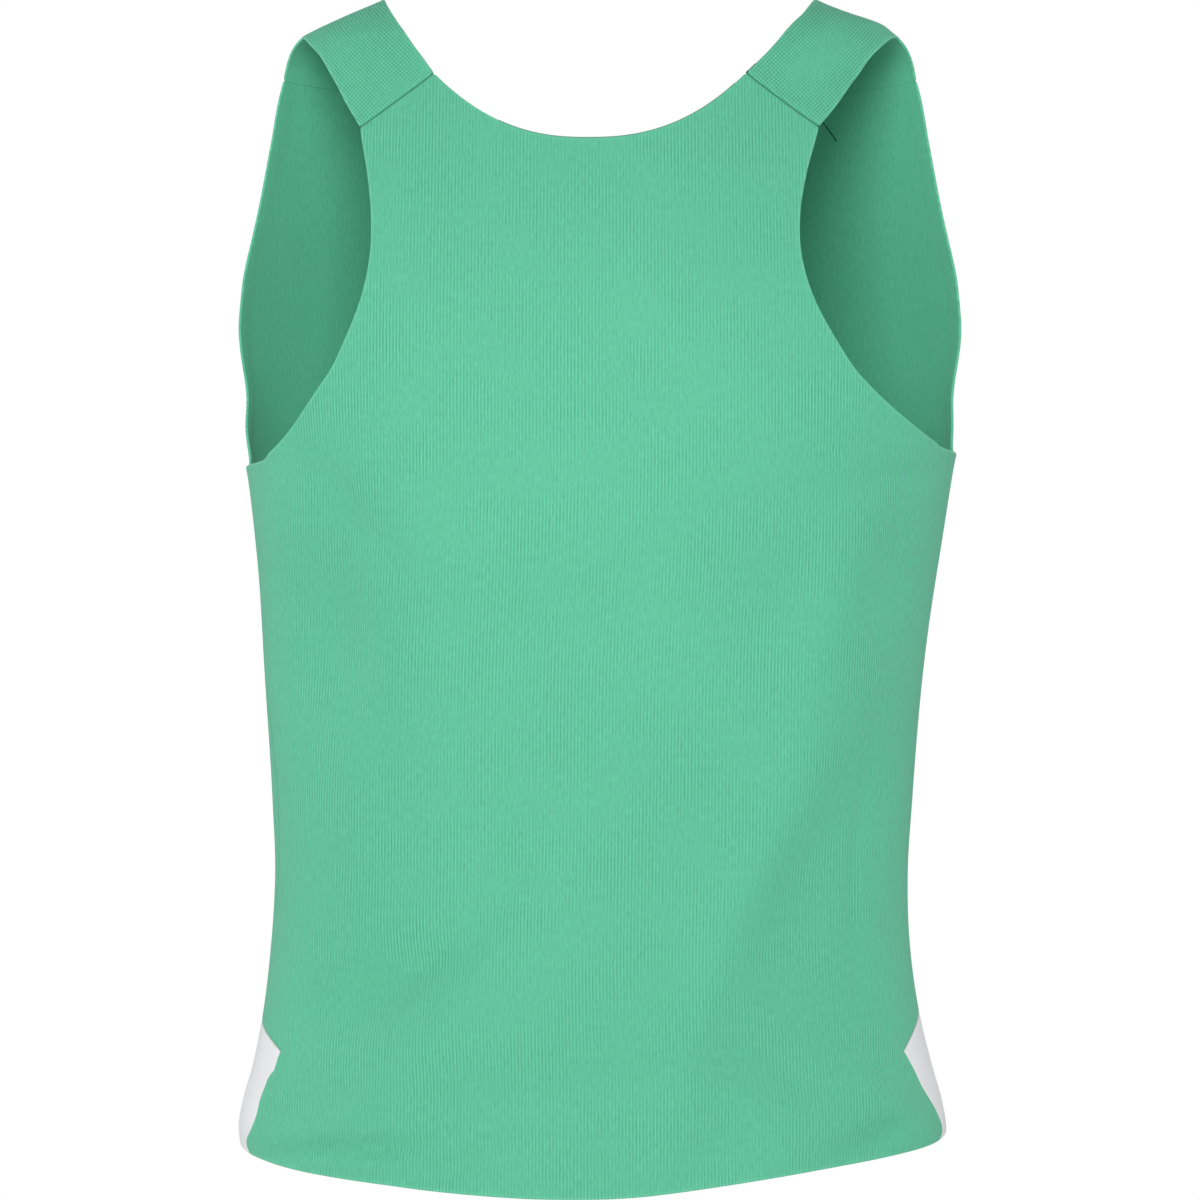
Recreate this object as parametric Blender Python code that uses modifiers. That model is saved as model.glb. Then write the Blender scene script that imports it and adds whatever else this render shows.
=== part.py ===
"""Sports tank top, filled out as if worn, with nobody in it.

The cloth follows one surface: flat rings round a general figure, stacked from hem to shoulders.
Every piece is a patch of that surface, marked out by its cut edges in ring angle and height, and
given the cloth's thickness inwards. Angle 0 is the centre back (-Y), +90 degrees the wearer's
right side (+X), 180 the centre front (+Y). Height 0 is the top of the straps on the shoulders.
"""

import math

import bmesh
import bpy
import numpy as np

WALL = 0.0012
SEAM_GAP = 0.0003

# One ring of the worn shape in each row. lean moves a ring sideways, and twist is how far the side
# seams have slid round the figure there, in degrees.
SECTION_COLUMNS = ("height", "half_width", "back_depth", "front_depth", "squareness", "lean", "twist")
SECTIONS = (
    (0.012, 0.0860, 0.012, 0.012, 2.0, 0.0000, 0.0),
    (0.000, 0.1144, 0.026, 0.026, 2.0, 0.0000, 0.0),
    (-0.010, 0.1375, 0.042, 0.040, 2.0, 0.0000, 0.0),
    (-0.0195, 0.1565, 0.052, 0.048, 2.0, 0.0000, 0.0),
    (-0.030, 0.1680, 0.059, 0.054, 2.0, 0.0000, 0.0),
    (-0.045, 0.1760, 0.067, 0.062, 2.0, 0.0000, 0.0),
    (-0.075, 0.1848, 0.082, 0.077, 2.1, 0.0000, 0.0),
    (-0.115, 0.1925, 0.099, 0.097, 2.2, 0.0000, 0.0),
    (-0.151, 0.1985, 0.110, 0.111, 2.35, 0.0000, 0.0),
    (-0.170, 0.2000, 0.114, 0.117, 2.4, 0.0000, 0.0),
    (-0.200, 0.1945, 0.118, 0.123, 2.5, 0.0000, 0.0),
    (-0.227, 0.1893, 0.120, 0.126, 2.5, 0.0000, 0.0),
    (-0.245, 0.1860, 0.120, 0.1265, 2.5, 0.0000, 0.0),
    (-0.290, 0.1798, 0.117, 0.124, 2.5, -0.0008, 3.0),
    (-0.350, 0.1735, 0.107, 0.115, 2.5, -0.0032, 7.0),
    (-0.420, 0.1682, 0.098, 0.106, 2.5, -0.0040, 11.0),
    (-0.460, 0.1663, 0.095, 0.103, 2.5, -0.0045, 9.5),
    (-0.500, 0.1682, 0.097, 0.104, 2.5, -0.0050, 4.5),
    (-0.538, 0.1735, 0.102, 0.107, 2.5, -0.0045, 0.0),
    (-0.560, 0.1785, 0.106, 0.109, 2.5, -0.0040, 0.0),
    (-0.580, 0.1840, 0.109, 0.111, 2.5, -0.0040, 0.0),
    (-0.592, 0.1858, 0.110, 0.112, 2.5, -0.0040, 0.0),
    (-0.603, 0.1845, 0.111, 0.1125, 2.5, -0.0040, 0.0),
    (-0.640, 0.1840, 0.112, 0.113, 2.5, -0.0040, 0.0),
)

# Soft troughs (depth below 0) and ridges, each round its own middle and turned from upright.
FOLD_COLUMNS = ("angle", "height", "turn", "half_length", "half_breadth", "depth")
FOLDS = (
    (-60, -0.310, 12, 0.055, 0.020, -0.0022),
    (-57, -0.368, -28, 0.060, 0.019, -0.0018),
    (-60, -0.572, 72, 0.045, 0.013, -0.0030),
    (-20, -0.530, -38, 0.110, 0.028, 0.0016),
    (63, -0.300, -24, 0.060, 0.022, -0.0024),
    (55, -0.470, 20, 0.090, 0.020, -0.0024),
    (40, -0.580, 62, 0.050, 0.016, -0.0018),
    (8, -0.400, 84, 0.080, 0.026, -0.0012),
    (128, -0.290, 26, 0.065, 0.018, -0.0024),
    (148, -0.420, -34, 0.085, 0.024, -0.0020),
    (196, -0.520, 40, 0.100, 0.026, 0.0016),
    (226, -0.300, -22, 0.060, 0.019, -0.0023),
    (238, -0.450, 16, 0.080, 0.020, -0.0022),
    (222, -0.575, -66, 0.048, 0.014, -0.0028),
)

# The worn back has slid a little to the wearer's left above the underarm.
BACK_SLIDE_COLUMNS = ("height", "slide")
BACK_SLIDE = ((-0.2420, 0.0014), (-0.2325, -0.0003), (-0.2255, -0.0014), (-0.2180, -0.0024),
              (-0.2080, -0.0033), (-0.1945, -0.0041), (-0.1680, -0.0062), (-0.1440, -0.0073),
              (-0.1215, -0.0075), (-0.0980, -0.0068), (-0.0725, -0.0055), (-0.0449, -0.0052))

# Armhole edges, from the strap seam down: distance from the centre line and height.
ARMHOLE_COLUMNS = ("out", "height")
BACK_ARMHOLE = ((0.1173, -0.0725), (0.1117, -0.0980), (0.1086, -0.1215), (0.1095, -0.1440),
                (0.1162, -0.1680), (0.1296, -0.1945), (0.1397, -0.2080), (0.1486, -0.2180),
                (0.1562, -0.2255), (0.1641, -0.2325), (0.1711, -0.2380), (0.1775, -0.2420))
FRONT_ARMHOLE = ((0.1676, -0.0406), (0.1746, -0.0712), (0.1800, -0.0973), (0.1861, -0.1240),
                 (0.1905, -0.1430), (0.1932, -0.1660), (0.1918, -0.1880), (0.1890, -0.2080),
                 (0.1883, -0.2250))
ARMHOLE_BOTTOM = -0.2438
ARMHOLE_BOTTOM_SHIFT = {1: 0.0035, -1: -0.0035}
ARMHOLE_SHIFT_TOP = -0.200
FRONT_UNDERARM_ANGLE = math.radians(5)
FRONT_UNDERARM_RISE = 0.0045

BACK_NECK_HALF = 0.0809
BACK_NECK_CORNER = -0.0449
BACK_NECK_LOW = -0.0808
BACK_NECK_CURVE = 2.4
FRONT_NECK_HALF = 0.1200
FRONT_NECK_CORNER = -0.0450
FRONT_NECK_LOW = -0.1520
FRONT_NECK_CURVE = 2.7

# Strap edges: the way from the back seam (0) over the top (1) to the front seam (2), and the
# distance from the centre line. Both edges lie above STRAP_LOWEST.
STRAP_LOWEST = -0.16
STRAP_COLUMNS = ("way", "out")
STRAP_INNER = ((0, 0.0809), (0.09, 0.0856), (0.21, 0.0919), (0.35, 0.0984), (0.54, 0.1051),
               (0.70, 0.1092), (0.88, 0.1128), (1, 0.1144), (1.3, 0.1170), (2, 0.1200))
STRAP_OUTER = ((0, 0.1180), (0.19, 0.1269), (0.34, 0.1335), (0.45, 0.1387), (0.56, 0.1438),
               (0.70, 0.1499), (0.86, 0.1546), (1, 0.1570), (1.3, 0.1612), (2, 0.1676))

HEM_SIDE = -0.5963
HEM_DROP = 0.021
HEM_CURVE_LEFT = 1.25
HEM_CURVE_RIGHT = 1.6
HEM_TILT = 0.0028

# White side insert: a kite across the side seam, given as angles from the side and heights.
INSERT_TOP = -0.538
INSERT_APEX_HEIGHT = -0.5485
INSERT_APEX_ANGLE = math.radians(18.5)
INSERT_HEM_ANGLE = math.radians(10.5)

# Divisions of the patches.
HEM_COLS = 28
INSERT_COLS = 6
STRAP_COLS = 4
NECK_COLS = HEM_COLS - 2 * STRAP_COLS
TAIL_ROWS = 4
BODY_ROWS = 18
YOKE_ROWS = 11
STRAP_ROWS = 14
CURVE_SAMPLES = 400
HALVINGS = 40
MERGE_DISTANCE = 0.00001
BACK_ARMHOLE_LOW_SHARE = 0.36
FRONT_ARMHOLE_LOW_SHARE = 0.16

GREEN = (0.105, 0.500, 0.320, 1.0)
WHITE = (0.840, 0.850, 0.860, 1.0)
CLOTH_ROUGHNESS = 0.75


def through(table, column_names, column, at):
    """A smooth curve through one column of a table, by cubic pieces with matching slopes."""
    rows = np.array(sorted(table), float)
    places = rows[:, 0]
    values = rows[:, column_names.index(column)]
    slopes = np.gradient(values, places)
    at = np.clip(at, places[0], places[-1])
    piece = np.clip(np.searchsorted(places, at) - 1, 0, len(places) - 2)
    span = places[piece + 1] - places[piece]
    t = (at - places[piece]) / span
    return (
        (1 + 2 * t) * (1 - t) ** 2 * values[piece]
        + t * (1 - t) ** 2 * span * slopes[piece]
        + t**2 * (3 - 2 * t) * values[piece + 1]
        + t**2 * (t - 1) * span * slopes[piece + 1]
    )


def section(column, height):
    return through(SECTIONS, SECTION_COLUMNS, column, height)


def ring_radius(angle, height):
    """Distance from the ring's middle to the cloth, on a squared ellipse."""
    depth = np.where(np.cos(angle) > 0, section("back_depth", height), section("front_depth", height))
    power = section("squareness", height)
    across = np.abs(np.sin(angle)) / section("half_width", height)
    along = np.abs(np.cos(angle)) / depth
    return (across**power + along**power) ** (-1 / power)


def fold_relief(angle, height):
    """How far the folds stand out (or in, below 0): soft bells along and across each fold."""
    relief = np.zeros(np.broadcast(angle, height).shape)
    for middle, level, turn, half_length, half_breadth, depth in FOLDS:
        round_way = (angle - math.radians(middle) + math.pi) % (2 * math.pi) - math.pi
        sideways = round_way * section("half_width", height)
        upward = height - level
        lean = math.radians(turn)
        along = upward * math.cos(lean) + sideways * math.sin(lean)
        across = sideways * math.cos(lean) - upward * math.sin(lean)
        relief += depth * np.exp(-((along / half_length) ** 2) - (across / half_breadth) ** 2)
    return relief


def cloth_points(marks):
    """Points in space of an array of (angle, height) marks on the cloth's outer face."""
    angle, height = marks[..., 0], marks[..., 1]
    radius = ring_radius(angle, height) + fold_relief(angle, height)
    return np.stack(
        [section("lean", height) + radius * np.sin(angle), -radius * np.cos(angle), height], axis=-1
    )


def marks(angle, height):
    return np.stack(np.broadcast_arrays(angle, height), axis=-1).astype(float)


def turned(angle, front):
    """The same angle, counted from 0 to 360 degrees for the front pieces."""
    return angle % (2 * math.pi) if front else angle


def angle_of(out, height, front):
    """Ring angle of a cloth point whose sideways place and height are known."""
    sideways = out - section("lean", height)
    power = section("squareness", height)
    depth = section("front_depth" if front else "back_depth", height)
    share = np.clip(np.abs(sideways) / section("half_width", height), 0, 1)
    depth = depth * (1 - share**power) ** (1 / power)
    return turned(np.arctan2(sideways, -depth if front else depth), front)


def height_of(angle, out):
    """Height on the shoulder at which a ring angle reaches a sideways distance, by halving."""
    low = np.full(np.shape(angle), STRAP_LOWEST)
    high = np.full(np.shape(angle), SECTIONS[0][0])
    for _ in range(HALVINGS):
        middle = (low + high) / 2
        reach = np.abs(section("lean", middle) + ring_radius(angle, middle) * np.sin(angle))
        low = np.where(reach > out, middle, low)
        high = np.where(reach > out, high, middle)
    return (low + high) / 2


def spaced(curve, count):
    """The curve's marks again, at count + 1 places equally far apart over the cloth."""
    steps = np.linalg.norm(np.diff(cloth_points(curve), axis=0), axis=1)
    run = np.concatenate([[0], np.cumsum(steps)])
    wanted = np.linspace(0, run[-1], count + 1)
    return np.stack([np.interp(wanted, run, curve[:, i]) for i in range(2)], axis=-1)


def line(start, end, count):
    """Marks in a straight line from start to end."""
    share = np.linspace(0, 1, count + 1)[:, None]
    return (1 - share) * np.array(start) + share * np.array(end)


def joined(*curves):
    """Curves end to end, each starting where the one before it stops."""
    return np.concatenate([curves[0]] + [curve[1:] for curve in curves[1:]])


def patch(bottom, top, start, end):
    """Grid of marks between four edges: a Coons patch."""
    u = np.linspace(0, 1, len(bottom))[None, :, None]
    v = np.linspace(0, 1, len(start))[:, None, None]
    corners = (
        (1 - u) * (1 - v) * bottom[0] + u * (1 - v) * bottom[-1] + (1 - u) * v * top[0] + u * v * top[-1]
    )
    return (1 - v) * bottom + v * top + (1 - u) * start[:, None] + u * end[:, None] - corners


def hem_height(angle):
    curve = np.where(np.sin(angle) > 0, HEM_CURVE_RIGHT, HEM_CURVE_LEFT)
    drop = HEM_DROP * np.abs(np.cos(angle)) ** curve
    return HEM_SIDE - drop + HEM_TILT * np.sin(angle)


def side_angle(side, front):
    return turned(side * math.pi / 2, front)


def insert_corner(side, front, from_side, height):
    """Mark of an insert corner on the back or front half, from_side radians off the side."""
    outward = side if front else -side
    angle = side_angle(side, front) + outward * from_side
    return angle, hem_height(angle) if height is None else height


def insert_edges(side, front):
    """Lower edge from hem to apex, and upper edge from apex to the insert's top."""
    hem_corner = insert_corner(side, front, INSERT_HEM_ANGLE, None)
    apex = insert_corner(side, front, INSERT_APEX_ANGLE, INSERT_APEX_HEIGHT)
    top = insert_corner(side, front, 0.0, INSERT_TOP)
    return line(hem_corner, apex, TAIL_ROWS), line(apex, top, INSERT_COLS)


def seam_angle(side, front, height):
    return side_angle(side, front) + np.radians(section("twist", height))


def side_seam(side, front):
    height = np.linspace(INSERT_TOP, ARMHOLE_BOTTOM + ARMHOLE_BOTTOM_SHIFT[side], CURVE_SAMPLES)
    return spaced(marks(seam_angle(side, front, height), height), BODY_ROWS)


def strap_corner(side, front, inner):
    """Mark where a strap seam meets the neck edge (inner) or the armhole edge."""
    if inner:
        out, height = (
            (FRONT_NECK_HALF, FRONT_NECK_CORNER) if front else (BACK_NECK_HALF, BACK_NECK_CORNER)
        )
    else:
        out, height = (FRONT_ARMHOLE if front else BACK_ARMHOLE)[0]
    slide = 0.0 if front else through(BACK_SLIDE, BACK_SLIDE_COLUMNS, "slide", height)
    return np.array([angle_of(side * out + slide, height, front), height])


def armhole(side, front):
    """Armhole edge from the side seam up to the strap, as lower and upper marks."""
    bottom = ARMHOLE_BOTTOM + ARMHOLE_BOTTOM_SHIFT[side]
    edge = [(seam_angle(side, front, bottom), bottom)]
    if front:
        edge.append((edge[0][0] + side * FRONT_UNDERARM_ANGLE, bottom + FRONT_UNDERARM_RISE))
    for out, height in (FRONT_ARMHOLE if front else BACK_ARMHOLE)[::-1]:
        shifted = np.clip((height - ARMHOLE_SHIFT_TOP) / (ARMHOLE_BOTTOM - ARMHOLE_SHIFT_TOP), 0, 1)
        slide = 0.0 if front else through(BACK_SLIDE, BACK_SLIDE_COLUMNS, "slide", height)
        height += shifted * ARMHOLE_BOTTOM_SHIFT[side]
        edge.append((angle_of(side * out + slide, height, front), height))
    names = ("run", "angle", "height")
    table = [(run, *mark) for run, mark in enumerate(edge)]
    at = np.linspace(0, len(edge) - 1, CURVE_SAMPLES)
    curve = marks(through(table, names, "angle", at), through(table, names, "height", at))
    share = FRONT_ARMHOLE_LOW_SHARE if front else BACK_ARMHOLE_LOW_SHARE
    steps = np.linalg.norm(np.diff(cloth_points(curve), axis=0), axis=1)
    split = int(np.searchsorted(np.cumsum(steps), share * steps.sum()))
    return spaced(curve[: split + 1], INSERT_COLS), spaced(curve[split:], YOKE_ROWS)


def strap_seam(side, front):
    """Seam marks from the armhole edge to the neck edge."""
    return spaced(
        line(strap_corner(side, front, False), strap_corner(side, front, True), CURVE_SAMPLES), STRAP_COLS
    )


def neckline(front):
    """Neck edge from one strap to the other: level at the centre, steeper towards the straps."""
    half, corner, low, curve = (
        (FRONT_NECK_HALF, FRONT_NECK_CORNER, FRONT_NECK_LOW, FRONT_NECK_CURVE)
        if front
        else (BACK_NECK_HALF, BACK_NECK_CORNER, BACK_NECK_LOW, BACK_NECK_CURVE)
    )
    first = 1 if front else -1
    across = np.linspace(first, -first, CURVE_SAMPLES)
    height = low + (corner - low) * np.abs(across) ** curve
    slide = 0.0 if front else through(BACK_SLIDE, BACK_SLIDE_COLUMNS, "slide", height)
    return spaced(marks(angle_of(half * across + slide, height, front), height), NECK_COLS)


def panel(front):
    """The blocks of the back or front: tail between the inserts, body, and yoke between the armholes."""
    first = 1 if front else -1
    low = {side: insert_edges(side, front)[0] for side in (-1, 1)}
    notch = {side: insert_edges(side, front)[1] for side in (-1, 1)}
    arm_low = {side: armhole(side, front)[0] for side in (-1, 1)}
    arm_high = {side: armhole(side, front)[1] for side in (-1, 1)}
    strap = {side: strap_seam(side, front) for side in (-1, 1)}
    hem_angle = np.linspace(low[first][0, 0], low[-first][0, 0], CURVE_SAMPLES)
    hem = spaced(marks(hem_angle, hem_height(hem_angle)), HEM_COLS)
    waistline = spaced(line(low[first][-1], low[-first][-1], CURVE_SAMPLES), HEM_COLS)
    chestline = spaced(line(arm_low[first][-1], arm_low[-first][-1], CURVE_SAMPLES), HEM_COLS)
    tail = patch(hem, waistline, low[first], low[-first])
    body = patch(
        joined(notch[first][::-1], waistline, notch[-first]),
        joined(arm_low[first], chestline, arm_low[-first][::-1]),
        side_seam(first, front),
        side_seam(-first, front),
    )
    shoulders = joined(strap[first], neckline(front), strap[-first][::-1])
    yoke = patch(chestline, shoulders, arm_high[first], arm_high[-first])
    return tail, body, yoke


def strap_edge(side, inner):
    """Neck edge or armhole edge of a strap, from the back seam over the shoulder to the front."""
    back, front = strap_corner(side, False, inner), strap_corner(side, True, inner)
    table = STRAP_INNER if inner else STRAP_OUTER
    way = np.linspace(0, 2, CURVE_SAMPLES)
    ends = abs(back[0]), math.pi / 2, abs((front[0] + math.pi) % (2 * math.pi) - math.pi)
    angle = np.interp(way, (0, 1, 2), ends)
    out = through(table, STRAP_COLUMNS, "out", way)
    out += np.clip(1 - way, 0, 1) * (abs(cloth_points(back)[0]) - out[0])
    out += np.clip(way - 1, 0, 1) * (abs(cloth_points(front)[0]) - out[-1])
    curve = marks(side * angle, height_of(angle, out))
    curve[0, 1], curve[-1, 1] = back[1], front[1]
    return spaced(curve, STRAP_ROWS)


def strap_patch(side):
    """One strap, with its long way round the rings."""
    outer, inner = strap_edge(side, False), strap_edge(side, True)
    back, front = strap_seam(side, False), strap_seam(side, True)
    front = np.stack([(front[:, 0] + math.pi) % (2 * math.pi) - math.pi, front[:, 1]], axis=-1)
    if side > 0:
        return patch(outer, inner, back, front)
    return patch(outer[::-1], inner[::-1], front, back)


def insert_patch(side):
    """White insert across the side seam: a short hem, two slanting sides and a low peak."""
    edges = {}
    for front in (False, True):
        turn = 2 * math.pi if front and side < 0 else 0.0
        edges[front] = [edge - [turn, 0.0] for edge in insert_edges(side, front)]
    first = side < 0
    low = edges[first][0], edges[not first][0]
    peak = joined(edges[first][1], edges[not first][1][::-1])
    hem_angle = np.linspace(low[0][0, 0], low[1][0, 0], 2 * INSERT_COLS + 1)
    return patch(marks(hem_angle, hem_height(hem_angle)), peak, low[0], low[1])


def draw_in_edges(mesh, distance):
    """Moves the open edge of a cloth piece inwards along the cloth, for the gap at its seams."""
    cloth = bmesh.new()
    cloth.from_mesh(mesh)
    bmesh.ops.remove_doubles(cloth, verts=cloth.verts, dist=MERGE_DISTANCE)
    cloth.normal_update()
    moves = []
    for vertex in cloth.verts:
        rim = [edge.other_vert(vertex) for edge in vertex.link_edges if edge.is_boundary]
        if len(rim) != 2:
            continue
        inward = vertex.normal.cross(vertex.co - rim[0].co).normalized()
        other = vertex.normal.cross(rim[1].co - vertex.co).normalized()
        mitre = (inward + other) / (1 + inward.dot(other))
        middle = sum((face.calc_center_median() for face in vertex.link_faces), vertex.co * 0)
        if mitre.dot(middle / len(vertex.link_faces) - vertex.co) < 0:
            mitre.negate()
        moves.append((vertex, mitre * distance))
    for vertex, move in moves:
        vertex.co += move
    cloth.to_mesh(mesh)
    cloth.free()


def add_cloth(name, blocks, material, collection):
    """One cut piece: its blocks as one open sheet on the outer face, with the wall inside it."""
    points, faces = [], []
    for block in blocks:
        rows, cols = block.shape[:2]
        index = np.arange(rows * cols).reshape(rows, cols) + sum(map(len, points))
        points.append(cloth_points(block).reshape(-1, 3))
        corners = index[:-1, :-1], index[:-1, 1:], index[1:, 1:], index[1:, :-1]
        faces.append(np.stack(corners, axis=-1).reshape(-1, 4))
    mesh = bpy.data.meshes.new(name)
    mesh.from_pydata(np.concatenate(points).tolist(), [], np.concatenate(faces).tolist())
    draw_in_edges(mesh, SEAM_GAP / 2)
    mesh.shade_smooth()
    mesh.materials.append(material)
    piece = bpy.data.objects.new(name, mesh)
    collection.objects.link(piece)
    wall = piece.modifiers.new("cloth", "SOLIDIFY")
    wall.thickness = WALL
    wall.offset = -1.0
    wall.use_even_offset = True
    return piece


def cloth_material(name, colour):
    material = bpy.data.materials.new(name)
    material.use_nodes = True
    shader = material.node_tree.nodes["Principled BSDF"]
    shader.inputs["Base Color"].default_value = colour
    shader.inputs["Roughness"].default_value = CLOTH_ROUGHNESS
    shader.inputs["Metallic"].default_value = 0.0
    return material


for old in list(bpy.data.objects):
    bpy.data.objects.remove(old, do_unlink=True)
tank_top = bpy.data.collections.new("sports_tank_top")
bpy.context.scene.collection.children.link(tank_top)

green_knit = cloth_material("green_knit", GREEN)
white_knit = cloth_material("white_knit", WHITE)

add_cloth("back_panel", panel(front=False), green_knit, tank_top)
add_cloth("front_panel", panel(front=True), green_knit, tank_top)
for side, word in ((-1, "left"), (1, "right")):
    add_cloth(f"strap_{word}", [strap_patch(side)], green_knit, tank_top)
    add_cloth(f"side_insert_{word}", [insert_patch(side)], white_knit, tank_top)
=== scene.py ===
"""Sports tank top, filled out as if worn with nobody in it, seen from behind."""

import math

import bpy
import numpy as np
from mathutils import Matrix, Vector


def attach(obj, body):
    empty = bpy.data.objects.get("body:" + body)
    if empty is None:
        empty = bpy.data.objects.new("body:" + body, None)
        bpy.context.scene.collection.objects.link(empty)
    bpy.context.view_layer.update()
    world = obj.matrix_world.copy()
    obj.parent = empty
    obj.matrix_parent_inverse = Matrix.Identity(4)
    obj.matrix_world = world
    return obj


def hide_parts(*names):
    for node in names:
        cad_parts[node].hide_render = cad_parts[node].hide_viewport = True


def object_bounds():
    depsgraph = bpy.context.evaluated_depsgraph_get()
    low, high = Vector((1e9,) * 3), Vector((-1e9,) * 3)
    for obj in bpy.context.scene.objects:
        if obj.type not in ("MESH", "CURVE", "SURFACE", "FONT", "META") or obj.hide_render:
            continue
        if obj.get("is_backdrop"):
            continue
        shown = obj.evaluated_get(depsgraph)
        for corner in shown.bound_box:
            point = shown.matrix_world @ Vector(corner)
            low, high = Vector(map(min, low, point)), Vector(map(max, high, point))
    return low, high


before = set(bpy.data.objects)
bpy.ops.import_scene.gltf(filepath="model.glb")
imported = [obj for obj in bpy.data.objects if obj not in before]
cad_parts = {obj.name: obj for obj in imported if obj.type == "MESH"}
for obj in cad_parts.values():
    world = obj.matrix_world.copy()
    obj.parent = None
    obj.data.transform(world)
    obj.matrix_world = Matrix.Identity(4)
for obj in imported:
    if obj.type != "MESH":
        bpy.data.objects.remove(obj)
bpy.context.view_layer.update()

# ---- Back panel -----------------------------------------------------------------------------
# One cut piece of fine polyester knit, from the strap seams down to the dropped hem. It keeps the
# shape it was worn in: flat rings round a general figure, stacked from the hem to the shoulders.
# Straps, front and side inserts are sewn to it, and its neck, armholes and hem are turned in.

# One ring of the worn shape in each row, in metres. lean moves a ring sideways, and twist is how
# far the side seams have slid round the figure there, in degrees.
SECTION_COLUMNS = ("height", "half_width", "back_depth", "front_depth", "squareness", "lean", "twist")
SECTIONS = (
    (0.012, 0.0860, 0.012, 0.012, 2.0, 0.0000, 0.0),
    (0.000, 0.1144, 0.026, 0.026, 2.0, 0.0000, 0.0),
    (-0.010, 0.1375, 0.042, 0.040, 2.0, 0.0000, 0.0),
    (-0.0195, 0.1565, 0.052, 0.048, 2.0, 0.0000, 0.0),
    (-0.030, 0.1680, 0.059, 0.054, 2.0, 0.0000, 0.0),
    (-0.045, 0.1760, 0.067, 0.062, 2.0, 0.0000, 0.0),
    (-0.075, 0.1848, 0.082, 0.077, 2.1, 0.0000, 0.0),
    (-0.115, 0.1925, 0.099, 0.097, 2.2, 0.0000, 0.0),
    (-0.151, 0.1985, 0.110, 0.111, 2.35, 0.0000, 0.0),
    (-0.170, 0.2000, 0.114, 0.117, 2.4, 0.0000, 0.0),
    (-0.200, 0.1945, 0.118, 0.123, 2.5, 0.0000, 0.0),
    (-0.227, 0.1893, 0.120, 0.126, 2.5, 0.0000, 0.0),
    (-0.245, 0.1860, 0.120, 0.1265, 2.5, 0.0000, 0.0),
    (-0.290, 0.1798, 0.117, 0.124, 2.5, -0.0008, 3.0),
    (-0.350, 0.1735, 0.107, 0.115, 2.5, -0.0032, 7.0),
    (-0.420, 0.1682, 0.098, 0.106, 2.5, -0.0040, 11.0),
    (-0.460, 0.1663, 0.095, 0.103, 2.5, -0.0045, 9.5),
    (-0.500, 0.1682, 0.097, 0.104, 2.5, -0.0050, 4.5),
    (-0.538, 0.1735, 0.102, 0.107, 2.5, -0.0045, 0.0),
    (-0.560, 0.1785, 0.106, 0.109, 2.5, -0.0040, 0.0),
    (-0.580, 0.1840, 0.109, 0.111, 2.5, -0.0040, 0.0),
    (-0.592, 0.1858, 0.110, 0.112, 2.5, -0.0040, 0.0),
    (-0.603, 0.1845, 0.111, 0.1125, 2.5, -0.0040, 0.0),
    (-0.640, 0.1840, 0.112, 0.113, 2.5, -0.0040, 0.0),
)

# Soft troughs (depth below 0) and ridges, each round its own middle and turned from upright.
# Angle 0 is the centre back (-Y), +90 the wearer's right side (+X), 180 the centre front. The
# broad folds shape the whole garment, and the fine ones are its creases.
FOLD_COLUMNS = ("angle", "height", "turn", "half_length", "half_breadth", "depth")
BROAD_FOLDS = (
    (-60, -0.310, 12, 0.055, 0.020, -0.0022),
    (-57, -0.368, -28, 0.060, 0.019, -0.0018),
    (-60, -0.572, 72, 0.045, 0.013, -0.0030),
    (-20, -0.530, -38, 0.110, 0.028, 0.0016),
    (63, -0.300, -24, 0.060, 0.022, -0.0024),
    (55, -0.470, 20, 0.090, 0.020, -0.0024),
    (40, -0.580, 62, 0.050, 0.016, -0.0018),
    (8, -0.400, 84, 0.080, 0.026, -0.0012),
    (128, -0.290, 26, 0.065, 0.018, -0.0024),
    (148, -0.420, -34, 0.085, 0.024, -0.0020),
    (196, -0.520, 40, 0.100, 0.026, 0.0016),
    (226, -0.300, -22, 0.060, 0.019, -0.0023),
    (238, -0.450, 16, 0.080, 0.020, -0.0022),
    (222, -0.575, -66, 0.048, 0.014, -0.0028),
)
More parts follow.
